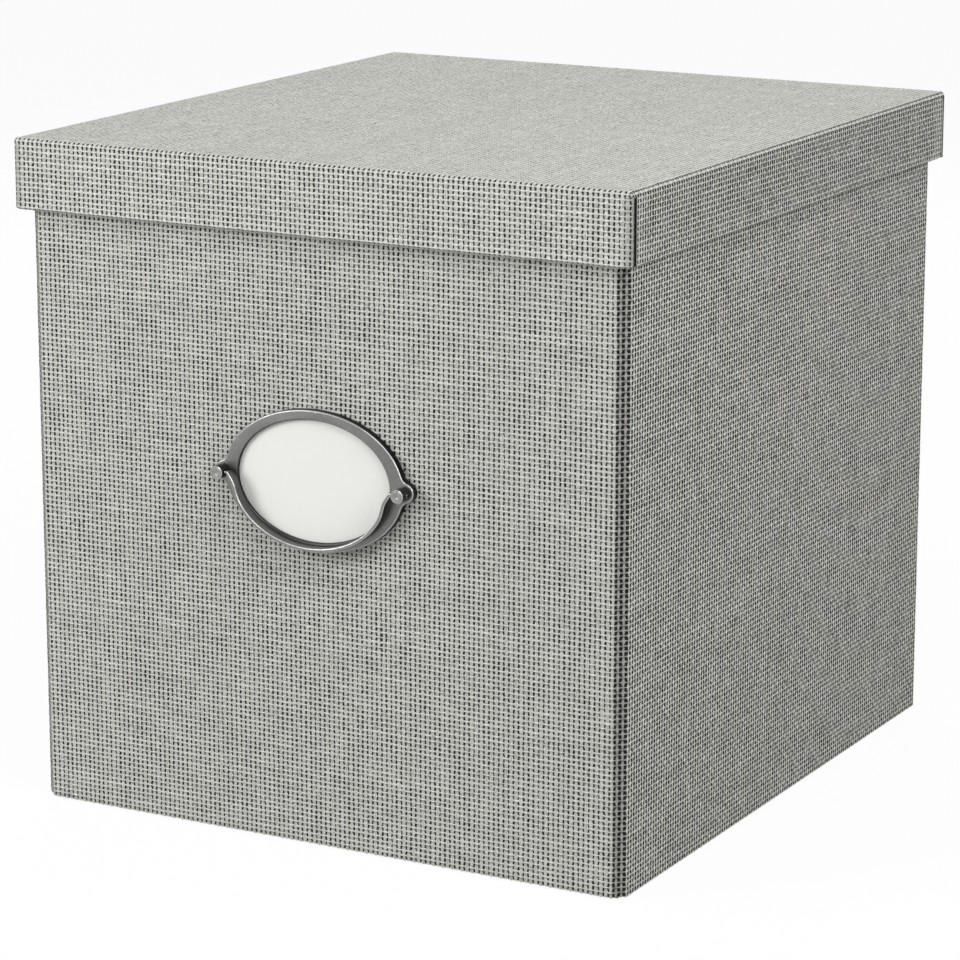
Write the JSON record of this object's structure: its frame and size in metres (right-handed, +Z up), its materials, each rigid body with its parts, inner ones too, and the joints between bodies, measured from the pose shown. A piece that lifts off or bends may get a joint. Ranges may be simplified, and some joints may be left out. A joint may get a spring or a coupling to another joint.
{
  "type": "lidded storage box",
  "caption": "Square-sided fabric-covered paperboard storage box with a lift-off lid and an oval metal label holder with a bail pull.",
  "frame": {"origin": "middle of the underside of the body, on the surface that the box stands on", "axes": "+X to the right seen from the front, +Y from the front (label holder) to the back, +Z up"},
  "size_m": [0.32, 0.3565, 0.32],
  "materials": {
    "board": "matte grey board",
    "weave": "light warm grey plain weave with dark gaps between the yarns",
    "lining": "matte grey non-woven lining",
    "backing_paper": "matte grey backing paper",
    "tape": "matte black woven tape",
    "card": "matte white card",
    "gunmetal": "satin pewter-grey metal with lighter worn edges",
    "plated_steel": "plain plated steel"
  },
  "bodies": {
    "box_body": {"front_wall_board": "board", "back_wall_board": "board", "left_wall_board": "board", "right_wall_board": "board", "bottom_board": "board", "body_fabric_cover": "weave", "inner_lining": "lining", "underside_sheet": "backing_paper", "label_frame": "gunmetal", "left_pivot_post": "gunmetal", "right_pivot_post": "gunmetal", "left_backing_washer": "plated_steel", "right_backing_washer": "plated_steel"},
    "lid": {"lid_top_board": "board", "lid_front_rim_board": "board", "lid_back_rim_board": "board", "lid_left_rim_board": "board", "lid_right_rim_board": "board", "lid_fabric_cover": "weave", "lid_lining": "lining", "lid_corner_tape_front_left": "tape", "lid_corner_tape_front_right": "tape", "lid_corner_tape_back_left": "tape", "lid_corner_tape_back_right": "tape"},
    "handle": {"pull_handle": "gunmetal"},
    "card": {"label_card": "card"},
    "insert": {"base_insert": "lining"}
  },
  "joints": [
    {"name": "lid_lift", "type": "slide", "parent": "box_body", "child": "lid", "axis": [0, 0, 1], "range_m": [0, 0.15]},
    {"name": "handle_swing", "type": "hinge", "parent": "box_body", "child": "handle", "pos_m": [0, -0.1777, 0.175], "axis": [-1, 0, 0], "range_deg": [0, 180]},
    {"name": "card_slide", "type": "slide", "parent": "box_body", "child": "card", "axis": [0, 0, 1], "range_m": [0, 0.07]},
    {"name": "insert_lift", "type": "slide", "parent": "box_body", "child": "insert", "axis": [0, 0, 1], "range_m": [0, 0.28]}
  ]
}
